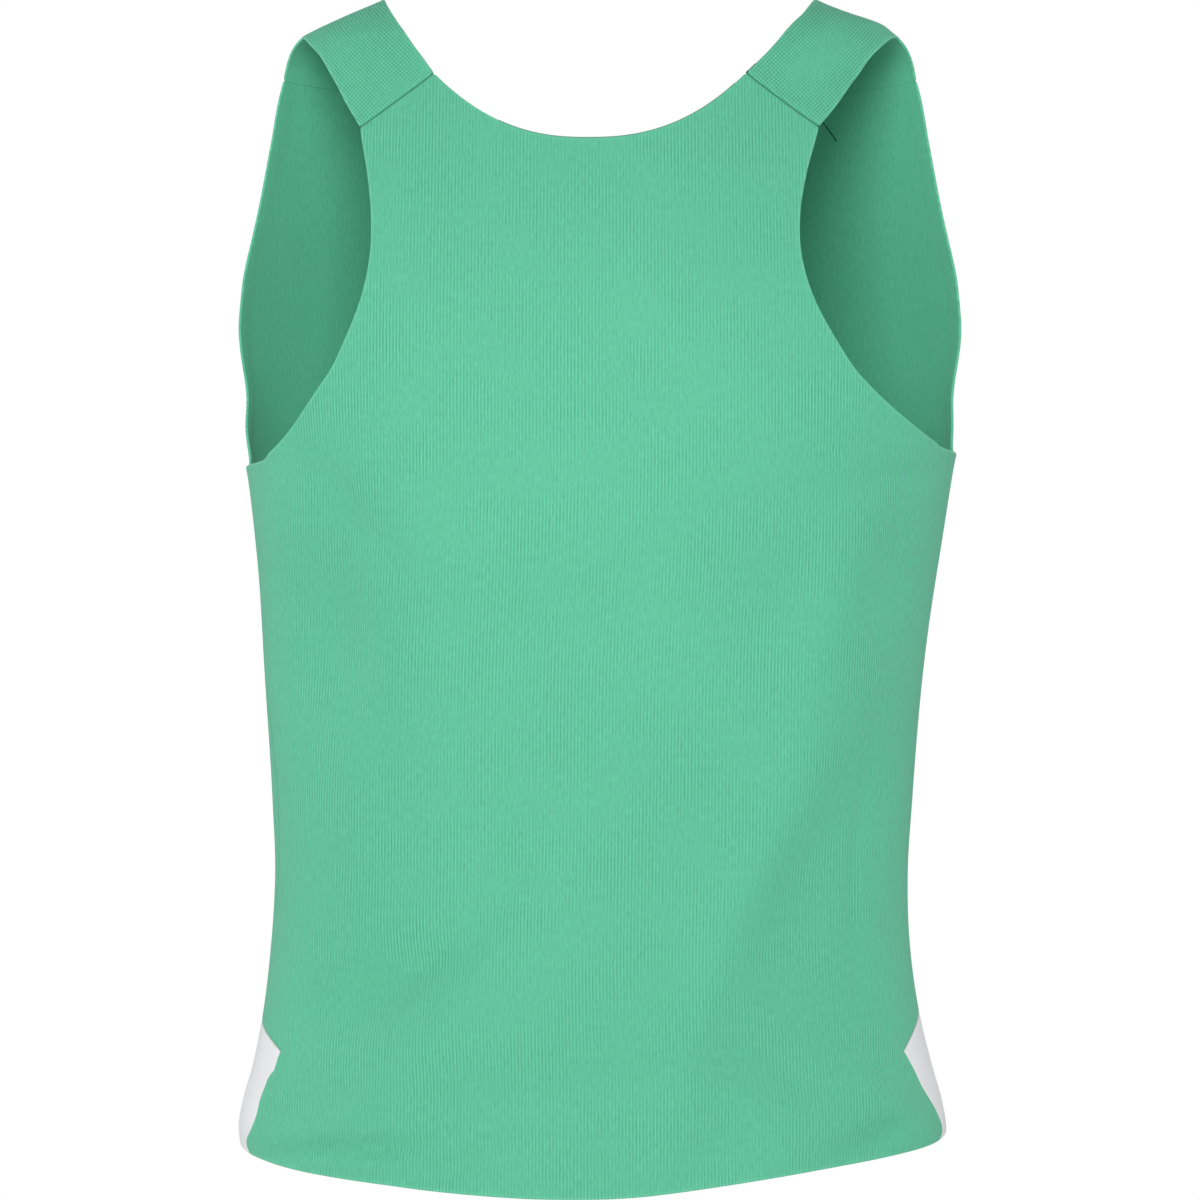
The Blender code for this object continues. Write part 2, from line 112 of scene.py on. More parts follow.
FINE_FOLDS = (
    (0, -0.318, 88, 0.150, 0.038, -0.0056),
    (-62, -0.338, 10, 0.062, 0.029, -0.0090),
    (-55, -0.268, -40, 0.044, 0.016, -0.0036),
    (-58, -0.520, 62, 0.030, 0.015, -0.0078),
    (-46, -0.508, 48, 0.062, 0.012, -0.0045),
    (-38, -0.533, 46, 0.070, 0.013, 0.0041),
    (-52, -0.5945, 84, 0.046, 0.0055, -0.0058),
    (-30, -0.599, 76, 0.044, 0.0060, -0.0036),
    (-12, -0.572, 86, 0.110, 0.024, 0.0068),
    (44, -0.572, -80, 0.060, 0.018, 0.0066),
    (-22, -0.452, 40, 0.055, 0.013, -0.0027),
    (-40, -0.332, -80, 0.070, 0.034, -0.0030),
    (44, -0.322, 80, 0.060, 0.032, -0.0044),
    (90, -0.0125, 0, 0.0045, 0.030, 0.0048),
    (54, -0.315, 10, 0.060, 0.022, 0.0065),
    (38, -0.470, 30, 0.130, 0.024, 0.0082),
    (64, -0.470, 3, 0.062, 0.0050, -0.0020),
    (58, -0.562, -58, 0.048, 0.015, 0.0059),
    (61, -0.590, 70, 0.034, 0.008, -0.0031),
    (50, -0.240, 82, 0.026, 0.0042, -0.0015),
    (60, -0.252, 87, 0.034, 0.0048, -0.0020),
    (44, -0.266, 84, 0.040, 0.0050, -0.0014),
    (112, -0.275, -30, 0.026, 0.0060, -0.0022),
    (139, -0.360, 22, 0.044, 0.0070, -0.0027),
    (128, -0.330, 8, 0.060, 0.020, -0.0071),
    (166, -0.560, 58, 0.060, 0.012, 0.0037),
    (180, -0.300, 88, 0.130, 0.026, -0.0071),
    (187, -0.235, 82, 0.038, 0.0090, -0.0017),
    (212, -0.400, -30, 0.080, 0.016, -0.0044),
    (231, -0.590, 74, 0.032, 0.0080, -0.0031),
    (246, -0.500, 52, 0.045, 0.013, -0.0054),
    (250, -0.355, 12, 0.040, 0.0056, -0.0020),
)


def through(table, column_names, column, at):
    """A smooth curve through one column of a table, by cubic pieces with matching slopes."""
    rows = np.array(sorted(table), float)
    places = rows[:, 0]
    values = rows[:, column_names.index(column)]
    slopes = np.gradient(values, places)
    at = np.clip(at, places[0], places[-1])
    piece = np.clip(np.searchsorted(places, at) - 1, 0, len(places) - 2)
    span = places[piece + 1] - places[piece]
    t = (at - places[piece]) / span
    return (
        (1 + 2 * t) * (1 - t) ** 2 * values[piece]
        + t * (1 - t) ** 2 * span * slopes[piece]
        + t**2 * (3 - 2 * t) * values[piece + 1]
        + t**2 * (t - 1) * span * slopes[piece + 1]
    )


def section(column, height):
    """One column of the worn shape's rings, at a height."""
    return through(SECTIONS, SECTION_COLUMNS, column, height)


def ring_radius(angle, height):
    """Distance from the ring's middle to the cloth: a squared ellipse, |x/a|^n + |y/b|^n = 1."""
    depth = np.where(np.cos(angle) > 0, section("back_depth", height), section("front_depth", height))
    power = section("squareness", height)
    across = np.abs(np.sin(angle)) / section("half_width", height)
    along = np.abs(np.cos(angle)) / depth
    return (across**power + along**power) ** (-1 / power)


def wrapped(angle):
    """The same angle, counted from -180 to 180 degrees."""
    return (angle + math.pi) % (2 * math.pi) - math.pi


def fold_relief(angle, height):
    """How far the folds stand out (or in, below 0): soft bells along and across each fold."""
    relief = np.zeros(np.broadcast(angle, height).shape)
    half_width = section("half_width", height)
    for row in BROAD_FOLDS + FINE_FOLDS:
        fold = dict(zip(FOLD_COLUMNS, row))
        sideways = wrapped(angle - math.radians(fold["angle"])) * half_width
        upward = height - fold["height"]
        lean = math.radians(fold["turn"])
        along = upward * math.cos(lean) + sideways * math.sin(lean)
        across = sideways * math.cos(lean) - upward * math.sin(lean)
        bell = np.exp(-((along / fold["half_length"]) ** 2) - (across / fold["half_breadth"]) ** 2)
        relief += fold["depth"] * bell
    return relief


def cloth_points(at):
    """Points of the cloth's outer face at (angle, height) marks: out from each ring's middle."""
    angle, height = at[..., 0], at[..., 1]
    radius = ring_radius(angle, height) + fold_relief(angle, height)
    return np.stack(
        [section("lean", height) + radius * np.sin(angle), -radius * np.cos(angle), height], axis=-1
    )


# Half the step over which the cloth's slope is measured, in radians round and metres up.
NORMAL_STEP = 0.0001


def cloth_normals(at):
    """Outward normals: the slope round the ring crossed with the slope up it."""
    round_step, up_step = np.array([NORMAL_STEP, 0.0]), np.array([0.0, NORMAL_STEP])
    round_way = cloth_points(at + round_step) - cloth_points(at - round_step)
    upward = cloth_points(at + up_step) - cloth_points(at - up_step)
    normals = np.cross(round_way, upward)
    return normals / np.linalg.norm(normals, axis=-1, keepdims=True)


def marks(angle, height):
    """Marks on the cloth, each a ring angle and a height."""
    return np.stack(np.broadcast_arrays(angle, height), axis=-1).astype(float)


def turned(angle, front):
    """The same angle, counted from 0 to 360 degrees for the front pieces."""
    return angle % (2 * math.pi) if front else angle


def angle_of(out, height, front):
    """Ring angle of a cloth point whose sideways place and height are known."""
    sideways = out - section("lean", height)
    power = section("squareness", height)
    depth = section("front_depth" if front else "back_depth", height)
    share = np.clip(np.abs(sideways) / section("half_width", height), 0, 1)
    depth = depth * (1 - share**power) ** (1 / power)
    return turned(np.arctan2(sideways, -depth if front else depth), front)


# Marks along each edge curve, and where the extra grid lines lie inside the step next to an edge.
CURVE_SAMPLES = 400
CROWD = np.array([0.10, 0.22, 0.40, 0.65])


def steps(count, crowd_start, crowd_end):
    """Shares of an edge in even steps, with some more inside the step next to a sewn or turned edge."""
    places = [np.arange(count + 1.0)]
    if crowd_start:
        places.append(CROWD)
    if crowd_end:
        places.append(count - CROWD)
    return np.unique(np.concatenate(places)) / count


def spaced(curve, shares):
    """The curve's marks again, at the given shares of its length over the cloth."""
    lengths = np.linalg.norm(np.diff(cloth_points(curve), axis=0), axis=1)
    run = np.concatenate([[0], np.cumsum(lengths)])
    return np.stack([np.interp(shares * run[-1], run, curve[:, i]) for i in range(2)], axis=-1)


def line(start, end):
    """Marks in a straight line from start to end."""
    share = np.linspace(0, 1, CURVE_SAMPLES)[:, None]
    return (1 - share) * np.array(start) + share * np.array(end)


def joined(*curves):
    """Curves end to end, each starting where the one before it stops."""
    return np.concatenate([curves[0]] + [curve[1:] for curve in curves[1:]])


def run_on(*stretches):
    """Shares along stretches laid end to end, each (shares, count) as long as its count."""
    total = sum(count for _, count in stretches)
    done = np.cumsum([0] + [count for _, count in stretches])
    return joined(*[(start + share * count) / total for start, (share, count) in zip(done, stretches)])


def patch(bottom, top, start, end, across, up):
    """Grid of marks between four edges, a Coons patch: each pair of edges blended, less the corners."""
    u, v = across[None, :, None], up[:, None, None]
    corners = (
        (1 - u) * (1 - v) * bottom[0] + u * (1 - v) * bottom[-1] + (1 - u) * v * top[0] + u * v * top[-1]
    )
    return (1 - v) * bottom + v * top + (1 - u) * start[:, None] + u * end[:, None] - corners


# The hem drops in the middle, more softly on the wearer's left, and hangs a little higher right.
HEM_SIDE = -0.5963
HEM_DROP = 0.021
HEM_CURVE_LEFT = 1.25
HEM_CURVE_RIGHT = 1.6
HEM_TILT = 0.0028


def hem_height(angle):
    """Height of the hem: the side's, less a drop that follows a power of |cos|, and a tilt by sin."""
    curve = np.where(np.sin(angle) > 0, HEM_CURVE_RIGHT, HEM_CURVE_LEFT)
    return HEM_SIDE - HEM_DROP * np.abs(np.cos(angle)) ** curve + HEM_TILT * np.sin(angle)


# The panels are notched for the white side inserts: angles from the side, and heights. A table by
# side has the wearer's right at 1 and left at -1.
INSERT_TOP = {1: -0.5305, -1: -0.5360}
INSERT_APEX_HEIGHT = -0.5485
INSERT_APEX_ANGLE = math.radians(18.5)
INSERT_HEM_ANGLE = math.radians(10.5)
NOTCH_CURVE = 2.0

# How far each notch's lower edge bows towards the side, in degrees, at shares of its way up.
INSERT_BOW_COLUMNS = ("share", "bow")
INSERT_BOW = {
    1: ((0.0, -2.0), (0.03, -0.6), (0.08, 0.5), (0.21, 0.65), (0.40, 0.1), (0.60, -0.5), (0.80, -0.1),
        (1.0, 0.0)),
    -1: ((0.0, -2.4), (0.03, -1.2), (0.07, -0.7), (0.19, -1.8), (0.37, -2.0), (0.52, -1.1),
         (0.64, -0.7), (0.755, -0.4), (0.81, -1.0), (0.91, -0.35), (1.0, 0.0)),
}


def seam_angle(side, front, height):
    """Ring angle of the side seam: a quarter turn to that side, plus the twist at the height."""
    return turned(side * math.pi / 2, front) + np.radians(section("twist", height))


def insert_edges(side, front):
    """Edge from the hem up to the insert's apex, and edge from the apex to its top on the seam."""
    outward = side if front else -side
    middle = turned(side * math.pi / 2, front)
    hem_angle = middle + outward * INSERT_HEM_ANGLE
    apex = (middle + outward * INSERT_APEX_ANGLE, INSERT_APEX_HEIGHT)
    low = line((hem_angle, hem_height(hem_angle)), apex)
    share = np.linspace(0, 1, CURVE_SAMPLES)
    low[:, 0] -= outward * np.radians(through(INSERT_BOW[side], INSERT_BOW_COLUMNS, "bow", share))
    low[0, 1] = hem_height(low[0, 0])
    notch = line(apex, (seam_angle(side, front, INSERT_TOP[side]), INSERT_TOP[side]))
    notch[:, 1] = INSERT_TOP[side] + (INSERT_APEX_HEIGHT - INSERT_TOP[side]) * (1 - share) ** NOTCH_CURVE
    return low, notch


# Armhole edges, from the strap seam down: distance from the centre line and height. The left one
# hangs lower at the underarm, and the worn back has slid a little to the left above it.
BACK_ARMHOLE = ((0.1173, -0.0725), (0.1117, -0.0980), (0.1086, -0.1215), (0.1095, -0.1440),
                (0.1162, -0.1680), (0.1296, -0.1945), (0.1397, -0.2080), (0.1486, -0.2180),
                (0.1562, -0.2255), (0.1641, -0.2325), (0.1711, -0.2380), (0.1775, -0.2420))
ARMHOLE_BOTTOM = -0.2438
ARMHOLE_BOTTOM_SHIFT = {1: 0.0035, -1: -0.0035}
ARMHOLE_SHIFT_TOP = -0.200
BACK_SLIDE_COLUMNS = ("height", "slide")
BACK_SLIDE = ((-0.2420, 0.0014), (-0.2325, -0.0003), (-0.2255, -0.0014), (-0.2180, -0.0024),
              (-0.2080, -0.0033), (-0.1945, -0.0041), (-0.1680, -0.0062), (-0.1440, -0.0073),
              (-0.1215, -0.0075), (-0.0980, -0.0068), (-0.0725, -0.0055), (-0.0449, -0.0052))

# The cut of the back: its armhole, its neck, and the part of the armhole below the chest line.
BACK_CUT = {
    "front": False,
    "armhole": BACK_ARMHOLE,
    "underarm": None,
    "neck_half": 0.0809,
    "neck_corner": -0.0449,
    "neck_low": -0.0808,
    "neck_curve": 2.4,
    "low_share": 0.36,
}


def slid(out, height, cut):
    """Sideways place, with the back's slide added on the back."""
    return out if cut["front"] else out + through(BACK_SLIDE, BACK_SLIDE_COLUMNS, "slide", height)


def side_seam(side, front):
    """Side seam, from the insert's top up to the underarm."""
    height = np.linspace(INSERT_TOP[side], ARMHOLE_BOTTOM + ARMHOLE_BOTTOM_SHIFT[side], CURVE_SAMPLES)
    return marks(seam_angle(side, front, height), height)


def armhole(side, cut):
    """Armhole edge from the side seam up to the strap, as lower and upper curves."""
    front = cut["front"]
    bottom = ARMHOLE_BOTTOM + ARMHOLE_BOTTOM_SHIFT[side]
    edge = [(seam_angle(side, front, bottom), bottom)]
    if cut["underarm"]:
        edge.append((edge[0][0] + side * cut["underarm"][0], bottom + cut["underarm"][1]))
    for out, height in cut["armhole"][::-1]:
        shifted = np.clip((height - ARMHOLE_SHIFT_TOP) / (ARMHOLE_BOTTOM - ARMHOLE_SHIFT_TOP), 0, 1)
        place = slid(side * out, height, cut)
        height += shifted * ARMHOLE_BOTTOM_SHIFT[side]
        edge.append((angle_of(place, height, front), height))
    names = ("run", "angle", "height")
    table = [(run, *mark) for run, mark in enumerate(edge)]
    at = np.linspace(0, len(edge) - 1, CURVE_SAMPLES)
    curve = marks(through(table, names, "angle", at), through(table, names, "height", at))
    lengths = np.linalg.norm(np.diff(cloth_points(curve), axis=0), axis=1)
    split = int(np.searchsorted(np.cumsum(lengths), cut["low_share"] * lengths.sum()))
    return curve[: split + 1], curve[split:]


def strap_corner(side, cut, inner):
    """Mark where a strap seam meets the neck edge (inner) or the armhole edge."""
    out, height = (cut["neck_half"], cut["neck_corner"]) if inner else cut["armhole"][0]
    return np.array([angle_of(slid(side * out, height, cut), height, cut["front"]), height])


def strap_seam(side, cut):
    """Seam from the armhole edge to the neck edge."""
    return line(strap_corner(side, cut, False), strap_corner(side, cut, True))


def neckline(cut):
    """Neck edge from one strap to the other: level at the centre, steeper towards the straps."""
    first = 1 if cut["front"] else -1
    across = np.linspace(first, -first, CURVE_SAMPLES)
    height = cut["neck_low"] + (cut["neck_corner"] - cut["neck_low"]) * np.abs(across) ** cut["neck_curve"]
    place = slid(cut["neck_half"] * across, height, cut)
    return marks(angle_of(place, height, cut["front"]), height)


# Steps of the panels' grids, about 2.6 mm apart.
HEM_COLS = 140
NOTCH_COLS = 26
STRAP_COLS = 20
NECK_COLS = HEM_COLS - 2 * STRAP_COLS
TAIL_ROWS = 18
BODY_ROWS = 100
YOKE_ROWS = 62


def panel(cut):
    """The blocks of the back or front: tail between the inserts, body, and yoke between the armholes."""
    front = cut["front"]
    first = 1 if front else -1
    low, notch = {}, {}
    arm_low, arm_high = {}, {}
    for side in (first, -first):
        low[side], notch[side] = insert_edges(side, front)
        arm_low[side], arm_high[side] = armhole(side, cut)
    middle = steps(HEM_COLS, True, True)
    leading, trailing = steps(NOTCH_COLS, True, False), steps(NOTCH_COLS, False, True)
    hem_angle = np.linspace(low[first][0, 0], low[-first][0, 0], CURVE_SAMPLES)
    hem = spaced(marks(hem_angle, hem_height(hem_angle)), middle)
    waistline = spaced(line(low[first][-1], low[-first][-1]), middle)
    chestline = spaced(line(arm_low[first][-1], arm_low[-first][-1]), middle)
    up = steps(TAIL_ROWS, True, False)
    tail = patch(hem, waistline, spaced(low[first], up), spaced(low[-first], up), middle, up)
    up = steps(BODY_ROWS, True, True)
    body = patch(
        joined(spaced(notch[first][::-1], leading), waistline, spaced(notch[-first], trailing)),
        joined(spaced(arm_low[first], leading), chestline, spaced(arm_low[-first][::-1], trailing)),
        spaced(side_seam(first, front), up),
        spaced(side_seam(-first, front), up),
        run_on((leading, NOTCH_COLS), (middle, HEM_COLS), (trailing, NOTCH_COLS)),
        up,
    )
    up = steps(YOKE_ROWS, False, True)
    shoulders = joined(
        spaced(strap_seam(first, cut), steps(STRAP_COLS, True, False)),
        spaced(neckline(cut), steps(NECK_COLS, False, False)),
        spaced(strap_seam(-first, cut)[::-1], steps(STRAP_COLS, False, True)),
    )
    yoke = patch(
        chestline, shoulders, spaced(arm_high[first], up), spaced(arm_high[-first], up), middle, up
    )
    return tail, body, yoke


# How deep the cloth rolls down at each kind of seam, and how dark the painted shade of its line is.
STRAP_SEAM = (0.0005, 0.85)
SIDE_SEAM = (0.0004, 0.45)
NOTCH_TOP_SEAM = (0.0006, 0.75)
NOTCH_SIDE_SEAM = (0.0002, 0.0)


def panel_seams(cut):
    """The panel's sewn edges: side seams, strap seams, and both edges of each insert notch."""
    seams = []
    for side in (-1, 1):
        low, notch = insert_edges(side, cut["front"])
        seams += [
            (side_seam(side, cut["front"]), *SIDE_SEAM),
            (strap_seam(side, cut), *STRAP_SEAM),
            (low, *NOTCH_SIDE_SEAM),
            (notch, *NOTCH_TOP_SEAM),
        ]
    return seams


# The knit is 0.9 mm thick, and up to 1.5 mm where an edge or a seam allowance is turned in. At a
# seam the cloth rolls down into a narrow groove, and a free edge curls out by a hair.
CLOTH_THICKNESS = 0.0009
TURNED_THICKNESS = 0.0006
TURNED_WIDTH = 0.009
SEAM_ROLL = 0.0007
# Painted shade along a seam: the width of its dark line.
SEAM_SHADE_WIDTH = 0.00055
SEAM_GAP = 0.00022
INNER_SINK = 0.15
EDGE_CURL = 0.00015
EDGE_CURL_WIDTH = 0.0030
# Painted highlight along a free edge: its width.
EDGE_HIGHLIGHT_WIDTH = 0.0009
# The least seam darkness that is painted as shade.
LEAST_SHADE = 0.02
# Painted shade that darkens the whole inner face of each piece.
INNER_SHADE = 0.21
RIM_STEPS = 4
RIM_BULGE_SEWN = 0.2
ARC_STEPS = 24
SAME_MARK_DIGITS = 7

# Distances to an edge are worked out up to REACH, for STRETCH of its short pieces at a time, sorted
# into upright strips ZONE wide so that they lie close together. LEAST_SQUARE stands in for a piece
# with no length. A point nearer than ON_SEAM to a seam lies on it.
ON_SEAM = 0.0003
REACH = 0.012
STRETCH = 16
ZONE = 0.05
LEAST_SQUARE = 1e-18


def distance_to(points, starts, ends):
    """Distance from each point to the nearest straight piece from starts to ends, up to REACH."""
    found = np.full(len(points), REACH)
    middle = (starts + ends) / 2
    order = np.lexsort((middle[:, 2], np.round(middle[:, 0] / ZONE), middle[:, 1] > 0))
    for some in np.array_split(order, len(order) // STRETCH + 1):
        if not len(some):
            continue
        corners = np.concatenate([starts[some], ends[some]])
        low, high = corners.min(axis=0) - REACH, corners.max(axis=0) + REACH
        close = np.flatnonzero(((points > low) & (points < high)).all(axis=1))
        span = ends[some] - starts[some]
        away = points[close, None] - starts[some]
        square = np.maximum((span**2).sum(axis=1), LEAST_SQUARE)
        share = np.clip((away * span).sum(axis=2) / square, 0, 1)
        gap = np.linalg.norm(away - share[..., None] * span, axis=2).min(axis=1)
        found[close] = np.minimum(found[close], gap)
    return found


def grain_map(at, front):
    """Pattern coordinates in metres: the way round the ring from the centre line, and the height."""
    centre = math.pi if front else 0.0
    share = np.linspace(0, 1, ARC_STEPS + 1)[:, None]
    way = cloth_points(marks(centre + (at[:, 0] - centre) * share, at[:, 1]))
    across = np.linalg.norm(np.diff(way, axis=0), axis=2).sum(axis=0) * np.sign(at[:, 0] - centre)
    return np.stack([across, at[:, 1]], axis=-1)


def weld(blocks):
    """The blocks' marks as one list without doubles, and their four-sided faces."""
    faces, count = [], 0
    for block in blocks:
        rows, cols = block.shape[:2]
        index = np.arange(rows * cols).reshape(rows, cols) + count
        corners = index[:-1, :-1], index[:-1, 1:], index[1:, 1:], index[1:, :-1]
        faces.append(np.stack(corners, axis=-1).reshape(-1, 4))
        count += rows * cols
    at = np.concatenate([block.reshape(-1, 2) for block in blocks])
    _, kept, place = np.unique(
        np.round(at, SAME_MARK_DIGITS), axis=0, return_index=True, return_inverse=True
    )
    return at[kept], place.reshape(-1)[np.concatenate(faces)]


def open_edges(faces):
    """The edges that only one face has, in that face's direction."""
    starts = faces.reshape(-1)
    ends = np.roll(faces, -1, axis=1).reshape(-1)
    count = faces.max() + 1
    alone = ~np.isin(starts * count + ends, ends * count + starts)
    return starts[alone], ends[alone]


def add_cloth(name, blocks, seams, front, material):
    """One cut piece: outer face, inner face a cloth's thickness inside it, and a round rim between.

    The outer face follows the worn shape. Near a seam it sinks along its normal by a bell of the
    distance to the seam, and near a free edge it curls out. The rim runs from the outer to the
    inner face on half a circle, full at a free edge and nearly flat where another piece meets it.
    """
    at, faces = weld(blocks)
    points, normals = cloth_points(at), cloth_normals(at)
    starts, ends = open_edges(faces)
    to_seam, sink, seam_shade = np.full(len(points), REACH), np.zeros(len(points)), np.zeros(len(points))
    on_seam, edge_sewn = np.zeros(len(points), bool), np.zeros(len(starts), bool)
    for curve, depth, shade_strength in seams:
        sewn = cloth_points(curve)
        here = distance_to(points[starts], sewn[:-1], sewn[1:]) < ON_SEAM
        here &= distance_to(points[ends], sewn[:-1], sewn[1:]) < ON_SEAM
        edge_sewn |= here
        on_seam[starts[here]] = on_seam[ends[here]] = True
        away = distance_to(points, points[starts[here]], points[ends[here]])
        to_seam = np.minimum(to_seam, away)
        sink = np.maximum(sink, depth * np.exp(-((away / SEAM_ROLL) ** 2)))
        # Painted shade: a dark line along the seam, a bell of the distance to it.
        seam_shade = np.maximum(seam_shade, shade_strength * np.exp(-((away / SEAM_SHADE_WIDTH) ** 2)))
    to_free = distance_to(points, points[starts[~edge_sewn]], points[ends[~edge_sewn]])

    outward = np.cross(points[ends] - points[starts], normals[starts])
    outward /= np.linalg.norm(outward, axis=1, keepdims=True)
    off = np.zeros_like(points)
    np.add.at(off, starts, outward)
    np.add.at(off, ends, outward)
    rim, from_rim = np.unique(starts, return_inverse=True)
    off[rim] /= np.linalg.norm(off[rim], axis=1, keepdims=True)

    curl = EDGE_CURL * np.exp(-((to_free / EDGE_CURL_WIDTH) ** 2))
    turned_in = np.clip((TURNED_WIDTH - np.minimum(to_seam, to_free)) / EDGE_CURL_WIDTH, 0, 1)
    thickness = CLOTH_THICKNESS + TURNED_THICKNESS * turned_in
    outer = points + normals * (curl - sink)[:, None]
    outer[rim] -= off[rim] * (on_seam[rim, None] * SEAM_GAP / 2)
    inner = outer + normals * ((1 - INNER_SINK) * sink - thickness)[:, None]

    half = np.linalg.norm(outer - inner, axis=1)[rim, None] / 2
    bulge = np.where(on_seam[rim], RIM_BULGE_SEWN, 1.0)[:, None]
    rings = [rim]
    vertices = [outer, inner]
    for step in range(1, RIM_STEPS):
        turn = math.pi * step / RIM_STEPS
        vertices.append(
            outer[rim]
            + normals[rim] * half * (math.cos(turn) - 1)
            + off[rim] * half * bulge * math.sin(turn)
        )
        rings.append(2 * len(points) + (step - 1) * len(rim) + np.arange(len(rim)))
    rings.append(rim + len(points))
    follows = {vertex: place for place, vertex in enumerate(rim.tolist())}
    to_rim = np.array([follows[vertex] for vertex in ends.tolist()])
    walls = [
        np.stack([low[to_rim], low[from_rim], high[from_rim], high[to_rim]], axis=-1)
        for low, high in zip(rings[:-1], rings[1:])
    ]
    base = np.concatenate([np.arange(len(points))] * 2 + [rim] * (RIM_STEPS - 1))

    mesh = bpy.data.meshes.new(name)
    all_faces = np.concatenate([faces, faces[:, ::-1] + len(points)] + walls)
    mesh.from_pydata(np.concatenate(vertices).tolist(), [], all_faces.tolist())
    grain = grain_map(at, front)[base]
    mesh.uv_layers.new(name="grain")
    mesh.uv_layers["grain"].data.foreach_set("uv", grain[all_faces.reshape(-1)].reshape(-1))
    # Painted light in the colour: a painted highlight along free edges, and painted shade along seams.
    tone = np.where(seam_shade > LEAST_SHADE, -seam_shade, np.exp(-((to_free / EDGE_HIGHLIGHT_WIDTH) ** 2)))[base]
    # Painted shade: the whole inner face is made a shade darker.
    tone[len(points) : 2 * len(points)] = -INNER_SHADE
    mesh.attributes.new("painted_light_and_shade", "FLOAT", "POINT")
    mesh.attributes["painted_light_and_shade"].data.foreach_set("value", tone.astype(np.float32))
    mesh.shade_smooth()
    mesh.materials.append(material)
    piece = bpy.data.objects.new(name + "_cloth", mesh)
    bpy.context.scene.collection.objects.link(piece)
    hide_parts(name)
    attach(piece, "root")


# Green knit: fine upright wales, 1.75 mm apart, that come and go in strength across the cloth. It
# runs from deep to bright with the yarn. Its lighter free edges are a painted highlight, and its
# darker seams and darker inner face are painted shade.
WALE_PITCH = 0.00175
RIM_HIGHLIGHT = 0.30
SHADE_HUSH = 3.5
PATCH_SCALE = 30.0
PATCH_DETAIL = 3.0
PATCH_LEVEL = 0.34
BREAK_SCALE = 420.0
LOOP_SCALE = 700.0
LOOP_DETAIL = 1.0
LOOP_STRETCH = (1.0, 0.35, 1.0)
MOTTLE_SCALE = 12.0
MOTTLE_DETAIL = 3.0
YARN_SHARE = 0.8
MOTTLE_SHARE = 0.2
YARN_RELIEF = 0.0003
KNIT_SURFACE = {
    "Roughness": 0.78,
    "Specular IOR Level": 0.2,
    "Subsurface Weight": 0.35,
    "Subsurface Radius": (1.0, 1.0, 1.0),
    "Subsurface Scale": 0.0010,
    "Sheen Weight": 0.05,
    "Sheen Roughness": 0.45,
}
GREEN_DEEP = (0.094, 0.430, 0.268, 1.0)
GREEN_BRIGHT = (0.150, 0.620, 0.395, 1.0)
# Painted highlight colour for the free edges, and painted shade colour for the seams and the inner face.
GREEN_HIGHLIGHT = (0.190, 0.640, 0.430, 1.0)
GREEN_SHADE = (0.030, 0.200, 0.115, 1.0)

# Places of the colour mixer's sockets: its share and two colours, and its result.
MIX_SOCKETS = (0, 6, 7)
MIX_RESULT = 2


def new_material(name, surface):
    """A material with the given surface values, and its nodes."""
    material = bpy.data.materials.new(name)
    material.use_nodes = True
    nodes = material.node_tree.nodes
    for socket, value in surface.items():
        nodes["Principled BSDF"].inputs[socket].default_value = value
    return material, nodes


def link(nodes, source, target):
    """Join one node's output to another's input."""
    nodes.id_data.links.new(source, target)


def arithmetic(nodes, operation, first, second=None):
    """A maths node on two inputs, each a socket or a number."""
    node = nodes.new("ShaderNodeMath")
    node.operation = operation
    for socket, value in zip(node.inputs, (first, second)):
        if isinstance(value, bpy.types.NodeSocket):
            link(nodes, value, socket)
        elif value is not None:
            socket.default_value = value
    return node.outputs[0]


def mixed(nodes, factor, first, second):
    """A colour between two, each a socket or a colour."""
    node = nodes.new("ShaderNodeMix")
    node.data_type = "RGBA"
    for place, value in zip(MIX_SOCKETS, (factor, first, second)):
        if isinstance(value, bpy.types.NodeSocket):
            link(nodes, value, node.inputs[place])
        else:
            node.inputs[place].default_value = value
    return node.outputs[MIX_RESULT]


def noise(nodes, vector, scale, detail, stretch=(1.0, 1.0, 1.0)):
    """Soft uneven spots, so many to the metre, longer where stretch is below 1."""
    mapping = nodes.new("ShaderNodeMapping")
    mapping.inputs["Scale"].default_value = stretch
    link(nodes, vector, mapping.inputs["Vector"])
    node = nodes.new("ShaderNodeTexNoise")
    node.inputs["Scale"].default_value = scale
    node.inputs["Detail"].default_value = detail
    link(nodes, mapping.outputs[0], node.inputs["Vector"])
    return node.outputs["Fac"]


